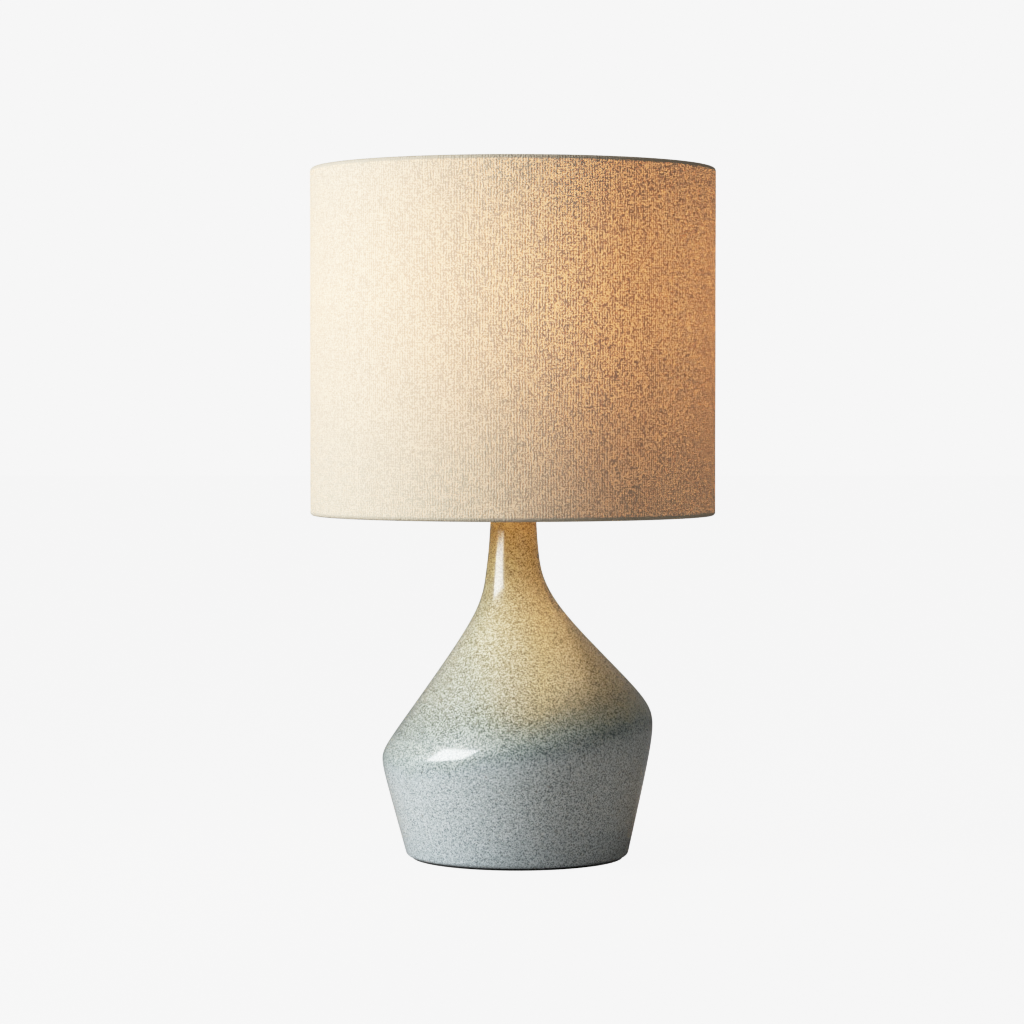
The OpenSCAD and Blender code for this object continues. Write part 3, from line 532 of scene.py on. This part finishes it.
def clay_reach(angle, z):
    lower = reach(angle, FOOT_X + WALL_LEAN * z, 0.0, FOOT_R + WALL_FLARE * z)
    drift = CONE_DRIFT * soft_max(0.0, CONE_TIP_Z - z, DRIFT_BLEND)
    neck = NECK_R + NECK_TAPER * (NECK_BLEND_Z - z)
    upper_r = soft_max(neck, CONE_SLOPE * (CONE_TIP_Z - z), NECK_BLEND)
    upper = reach(angle, NECK_X + drift * math.cos(HIGH_SIDE), drift * math.sin(HIGH_SIDE), upper_r)
    softness = SHOULDER_BLEND + SHOULDER_MORE * np.cos(angle - HIGH_SIDE)
    return soft_min(lower, upper, softness)


def ceramic_base():
    angles = np.linspace(0, 2 * math.pi, CLAY_SIDES, endpoint=False)
    lean = SHOULDER_TILT * np.cos(angles - HIGH_SIDE)
    rings = []
    # rounded edge of the foot
    for turn in np.linspace(0, 90, 9):
        t = math.radians(turn)
        z = FOOT_Z + FOOT_ROUND * (1 - math.cos(t))
        rings.append((clay_reach(angles, z) - FOOT_ROUND * (1 - math.sin(t)), z))
    # outside wall: rings lean with the shoulder where they pass it, and crowd together there
    top = clay_top / MM
    levels = np.concatenate([
        np.linspace(7, 60, 16), np.linspace(62, 112, 42), np.linspace(115, 160, 16),
        np.linspace(164, top - NECK_ROUND, 26),
    ])
    for level in levels:
        share = np.interp(level, [7, 74, 100, 170], [0.0, 1.0, 1.0, 0.0])
        share = share * share * (3 - 2 * share)
        z = level + share * lean
        rings.append((clay_reach(angles, z), z))
    for turn in np.linspace(15, 90, 6):
        t = math.radians(turn)
        z = top - NECK_ROUND * (1 - math.sin(t))
        rings.append((clay_reach(angles, top) - NECK_ROUND * (1 - math.cos(t)), z))
    # pipe passage, inside wall, floor and foot recess
    rings += [(PIPE_PASSAGE_R, top), (PIPE_PASSAGE_R, top - 8), (8.5, top - 12)]
    for level in (228, 205, 186, 170, 150, 125, 105, 94, 86, 78, 62, 40, FLOOR_Z + FLOOR_T):
        share = np.interp(level, [15, 74, 100, 170], [0.0, 1.0, 1.0, 0.0])
        z = level + share * lean
        rings.append((clay_reach(angles, z) - CLAY_T, z))
    recess = reach(angles, FOOT_X, 0.0, RECESS_R)
    rings += [(FLOOR_HOLE_R, FLOOR_Z + FLOOR_T), (FLOOR_HOLE_R, FLOOR_Z), (recess, FLOOR_Z),
              (recess, FOOT_Z)]
    points, faces = skin([ring_of(r * np.ones_like(angles), z, angles) * MM for r, z in rings])
    base = mesh_piece("ceramic_base", points, faces, glaze_material, "base", ["ceramic_body"])
    # the cord outlet, bored square to the leaning back wall
    wall = FOOT_R + WALL_FLARE * OUTLET_Z
    tilt = math.atan(WALL_FLARE)
    for r, low, high in ((OUTLET_R, -16.0, 6.0), (OUTLET_FLANGE_R, -OUTLET_SEAT, 6.0)):
        cutter = bpy.data.meshes.new("outlet_cutter")
        turn = np.linspace(0, 2 * math.pi, 64, endpoint=False)
        cut_points, cut_faces = skin([ring_of(r, low, turn) * MM, ring_of(r, high, turn) * MM],
                                     closed=False)
        cut_faces += [tuple(reversed(range(64))), tuple(range(64, 128))]
        cutter.from_pydata(cut_points, [], cut_faces)
        tool = bpy.data.objects.new("outlet_cutter", cutter)
        tool.location = (0.0, wall * MM, OUTLET_Z * MM)
        tool.rotation_euler = (-math.pi / 2 - tilt, 0.0, 0.0)
        scene.collection.objects.link(tool)
        cut = base.modifiers.new("outlet", "BOOLEAN")
        cut.operation = "DIFFERENCE"
        cut.solver = "EXACT"
        cut.object = tool
        bpy.context.view_layer.update()
        graph = bpy.context.evaluated_depsgraph_get()
        cut_mesh = bpy.data.meshes.new_from_object(base.evaluated_get(graph))
        base.modifiers.clear()
        base.data = cut_mesh
        bpy.data.objects.remove(tool)
    base.data.name = "ceramic_base"
    base.data.set_sharp_from_angle(angle=math.radians(40))
    return base


ceramic_base()

# ---------- linen shade ----------

HEM_R, FABRIC_T, LINER_T = 2.35, 0.6, 0.5
HEM_TURN, TUCK_DEPTH = 225, 7.0      # how far the hem rolls round its wire, and where it ends
ROWS = 90


def hem(z, up, outward):
    """One rolled hem's outline, outside or inside face, as (radius, height) in millimetres."""
    r = HEM_R if outward else HEM_R - FABRIC_T
    middle = SHADE_R / MM - HEM_R
    points = [(a, z - up * HEM_R + up * b) for a, b in arc(middle, 0, r, 0, HEM_TURN, 26)]
    wall = SHADE_R / MM - FABRIC_T - LINER_T - (FABRIC_T if outward else 0)
    last = points[-1]
    points.append((wall - 0.2, last[1] - up * (wall - 0.2 - last[0])))
    points.append((wall, z - up * TUCK_DEPTH))
    return points


def shade_outline():
    z0, z1 = SHADE_Z0 / MM, SHADE_Z1 / MM
    upper_out, upper_in = hem(z1, 1, True), hem(z1, 1, False)
    lower_out, lower_in = hem(z0, -1, True), hem(z0, -1, False)
    heights = np.linspace(z0 + HEM_R, z1 - HEM_R, ROWS)[1:-1]
    outer = [(SHADE_R / MM, z) for z in heights]
    inner = [(SHADE_R / MM - FABRIC_T, z) for z in heights[::-1]]
    return outer + upper_out + upper_in[::-1] + inner + lower_in + lower_out[::-1]


def wave(angle, z):
    """How far the stretched cloth stands off a true drum, in millimetres."""
    slow = 0.10 * np.sin(5 * angle + 0.6) * np.sin(z * 0.013 + 1.0)
    quick = 0.05 * np.sin(17 * angle + 1.9 + z * 0.02) * np.sin(z * 0.041)
    return slow + quick


def hem_lumps(angle, z):
    """The roll is lumpy where the cloth is pinched round the wire."""
    z0, z1 = SHADE_Z0 / MM, SHADE_Z1 / MM
    edge = np.minimum(z - z0, z1 - z)
    near = np.clip(1 - edge / 5.0, 0, 1)
    lumps = np.sin(83 * angle + 2 * np.sin(7 * angle)) + 0.6 * np.sin(137 * angle + 0.4)
    return 0.06 * near * lumps


def linen_cover():
    angles = np.linspace(0, 2 * math.pi, 720, endpoint=False) + math.pi / 2
    rings = []
    for r, z in shade_outline():
        radius = r + wave(angles, z) - 0.15 + hem_lumps(angles, z)
        rings.append(ring_of(radius, z, angles) * MM)
    points, faces = skin(rings)
    return mesh_piece("linen_cover", points, faces, linen_material, "shade", ["shade_linen"])


LAP_WIDTH_MM, LAP_T = 12.0, 0.45


def linen_lap():
    """The cloth's overlap down the back: a strip that follows the cover over both hems."""
    half = LAP_WIDTH_MM / 2 / (SHADE_R / MM)
    centre = math.pi / 2 + 0.02
    z0, z1 = SHADE_Z0 / MM, SHADE_Z1 / MM
    middle = SHADE_R / MM - HEM_R
    path = [(a, z0 + HEM_R - b) for a, b in arc(middle, 0, HEM_R, 175, 0, 22)]
    path += [(SHADE_R / MM, z) for z in np.linspace(z0 + HEM_R, z1 - HEM_R, ROWS)[1:-1]]
    path += [(a, z1 - HEM_R + b) for a, b in arc(middle, 0, HEM_R, 0, 175, 22)]
    path = np.array(path)
    along = np.gradient(path, axis=0)
    out = np.stack([along[:, 1], -along[:, 0]], axis=1)
    out /= np.linalg.norm(out, axis=1)[:, None]
    # across the strip: tucked edge, rounded top, tucked edge, and back underneath
    section = [(-1.0, -0.1), (-1.0, 0.6), (-0.97, 0.9), (-0.9, 1.0), (-0.45, 1.0), (0.0, 1.0),
               (0.45, 1.0), (0.9, 1.0), (0.97, 0.9), (1.0, 0.6), (1.0, -0.1), (0.0, -0.1)]
    rings = []
    for (r, z), (ox, oz) in zip(path, out):
        ring = []
        for side, lift in section:
            angle = centre + side * half
            base = r + float(wave(angle, z)) - 0.15 + float(hem_lumps(angle, z))
            radius = base + ox * lift * LAP_T
            ring.append((radius * math.cos(angle) * MM, radius * math.sin(angle) * MM,
                         (z + oz * lift * LAP_T) * MM))
        rings.append(ring)
    points, faces = skin(rings, closed=False)
    count = len(section)
    last = len(points) - count
    faces += [tuple(reversed(range(count))), tuple(range(last, last + count))]
    mesh = bpy.data.meshes.new("linen_lap")
    mesh.from_pydata(points, [], faces)
    mesh.update()
    mesh.polygons.foreach_set("use_smooth", [True] * len(mesh.polygons))
    mesh.set_sharp_from_angle(angle=math.radians(50))
    mesh.materials.append(linen_lap_material)
    lap = bpy.data.objects.new("linen_lap", mesh)
    scene.collection.objects.link(lap)
    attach(lap, "shade")
    return lap


cover = linen_cover()
lap = linen_lap()

# ---------- stage and light ----------

# The film: straight up to TOE, then a soft shoulder towards white
TOE, FILM_RANGE = 0.35, 4.0
PALE = 1.72                # brightness of the backdrop and the floor before the shoulder


def film():
    """The view's tone curve."""
    view = scene.view_settings
    view.view_transform = "Standard"
    view.look = "None"
    view.use_curve_mapping = True
    curves = view.curve_mapping
    curves.white_level = (FILM_RANGE,) * 3
    curve = curves.curves[3]
    room = 1.0 - TOE
    for light in (0.175, 0.35, 0.5, 0.7, 0.95, 1.25, 1.6, 2.0, 2.5, 3.2):
        if light <= TOE:
            shown = light
        else:
            shown = TOE + room * (1.0 - math.exp(-(light - TOE) / room))
        curve.points.new(light / FILM_RANGE, shown)
    curves.update()


def stage_floor():
    """A pale floor that the camera sees as bright as the backdrop."""
    s = Shader("pale_floor")
    p, x, y, z = s.place()
    mottle = s.noise(p, 6.0, 2.0, 0.5)
    seen = s.add("ShaderNodeEmission",
                 {"Color": (1.0, 1.0, 1.0), "Strength": PALE - 0.06}).outputs[0]
    soft = s.add("ShaderNodeBsdfDiffuse", {
        "Color": s.mix(mottle, (0.06, 0.06, 0.06), (0.065, 0.065, 0.065))}).outputs[0]
    shown = s.add("ShaderNodeAddShader", {0: seen, 1: soft}).outputs[0]
    unseen = s.add("ShaderNodeBsdfDiffuse", {"Color": (0.30, 0.30, 0.30)}).outputs[0]
    path = s.add("ShaderNodeLightPath")
    both = s.add("ShaderNodeMixShader", {0: path.outputs["Is Camera Ray"], 1: unseen, 2: shown})
    material = s.finish(both.outputs[0])
    mesh = bpy.data.meshes.new("floor")
    half = 12.0
    mesh.from_pydata([(-half, -half, 0), (half, -half, 0), (half, half, 0), (-half, half, 0)], [],
                     [(0, 1, 2, 3)])
    mesh.materials.append(material)
    floor = bpy.data.objects.new("floor", mesh)
    floor.location = (0.0, 0.0, cad_box[0].z - 0.0002)
    scene.collection.objects.link(floor)


def world_light():
    """A pale backdrop, and a dim even light from all round."""
    world = bpy.data.worlds.new("studio")
    scene.world = world
    world.use_nodes = True
    tree = world.node_tree
    tree.nodes.clear()
    seen = tree.nodes.new("ShaderNodeBackground")
    seen.inputs["Color"].default_value = (1.0, 1.0, 1.0, 1.0)
    seen.inputs["Strength"].default_value = PALE
    unseen = tree.nodes.new("ShaderNodeBackground")
    unseen.inputs["Color"].default_value = (1.0, 0.97, 0.93, 1.0)
    unseen.inputs["Strength"].default_value = 0.17
    path = tree.nodes.new("ShaderNodeLightPath")
    mix = tree.nodes.new("ShaderNodeMixShader")
    output = tree.nodes.new("ShaderNodeOutputWorld")
    tree.links.new(path.outputs["Is Camera Ray"], mix.inputs[0])
    tree.links.new(unseen.outputs[0], mix.inputs[1])
    tree.links.new(seen.outputs[0], mix.inputs[2])
    tree.links.new(mix.outputs[0], output.inputs["Surface"])


def area_light(name, azimuth, elevation, distance, size, power, colour):
    """A softbox aimed at the lamp. Azimuth 0 is the camera's side, and 90 is the lamp's right."""
    a, e = math.radians(azimuth), math.radians(elevation)
    away = np.array([math.sin(a) * math.cos(e), -math.cos(a) * math.cos(e), math.sin(e)])
    data = bpy.data.lights.new(name, "AREA")
    data.shape = "RECTANGLE"
    data.size, data.size_y = size
    data.energy = power
    data.color = colour
    light = bpy.data.objects.new(name, data)
    target = np.array([0.0, 0.0, 0.22])
    light.location = target + away * distance
    light.rotation_euler = (math.pi / 2 - e, 0.0, a)
    scene.collection.objects.link(light)
    light.visible_camera = False
    return light


FILAMENT_DEPTH = 0.026      # from the top of the glass


def bulb_light(name, power, colour, radius, receivers=None, blockers=None,
               shift=(0.0, 0.0, 0.0)):
    """A lamp inside the bulb, which rides it. It can be told what it lights and what blocks it."""
    data = bpy.data.lights.new(name, "POINT")
    data.energy = power
    data.color = colour
    data.shadow_soft_size = radius
    light = bpy.data.objects.new(name, data)
    light.location = (shift[0], shift[1], glass_high.z - FILAMENT_DEPTH + shift[2])
    light.visible_camera = False
    light.visible_glossy = False
    scene.collection.objects.link(light)
    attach(light, "bulb")
    for attribute, group in (("receiver_collection", receivers), ("blocker_collection", blockers)):
        if group is not None:
            collection = bpy.data.collections.new(f"{name}_{attribute}")
            for item in group:
                collection.objects.link(item)
            setattr(light.light_linking, attribute, collection)
    return light


stage_floor()
world_light()
area_light("window", -66, 20, 1.30, (0.87, 0.72), 33.0, (0.94, 0.985, 1.0))
area_light("fill", 40, 16, 2.2, (1.6, 1.6), 2.7, (1.0, 0.90, 0.78))
# The bulb's light in three shares: through the cloth, on the fittings and the liner's inside,
# and straight down on the base
base_piece = bpy.data.objects["ceramic_base"]
meshes = [o for o in scene.objects if o.type == "MESH"]
fittings = [o for o in meshes if o not in (cover, lap, base_piece)]
opaque = [o for o in meshes if not o.name.startswith("bulb_")]
bulb_light("glow", 2.22, LIT_COLOUR, 0.020, receivers=[cover, lap], blockers=[nodes["felt_pad"]],
           shift=(-0.015, -0.018, 0.010))
bulb_light("bulb_lamp", 1.8, (1.0, 0.72, 0.42), 0.028, receivers=fittings, blockers=opaque)
bulb_light("bulb_down", 0.72, (1.0, 0.62, 0.30), 0.028, receivers=[base_piece], blockers=opaque)
film()
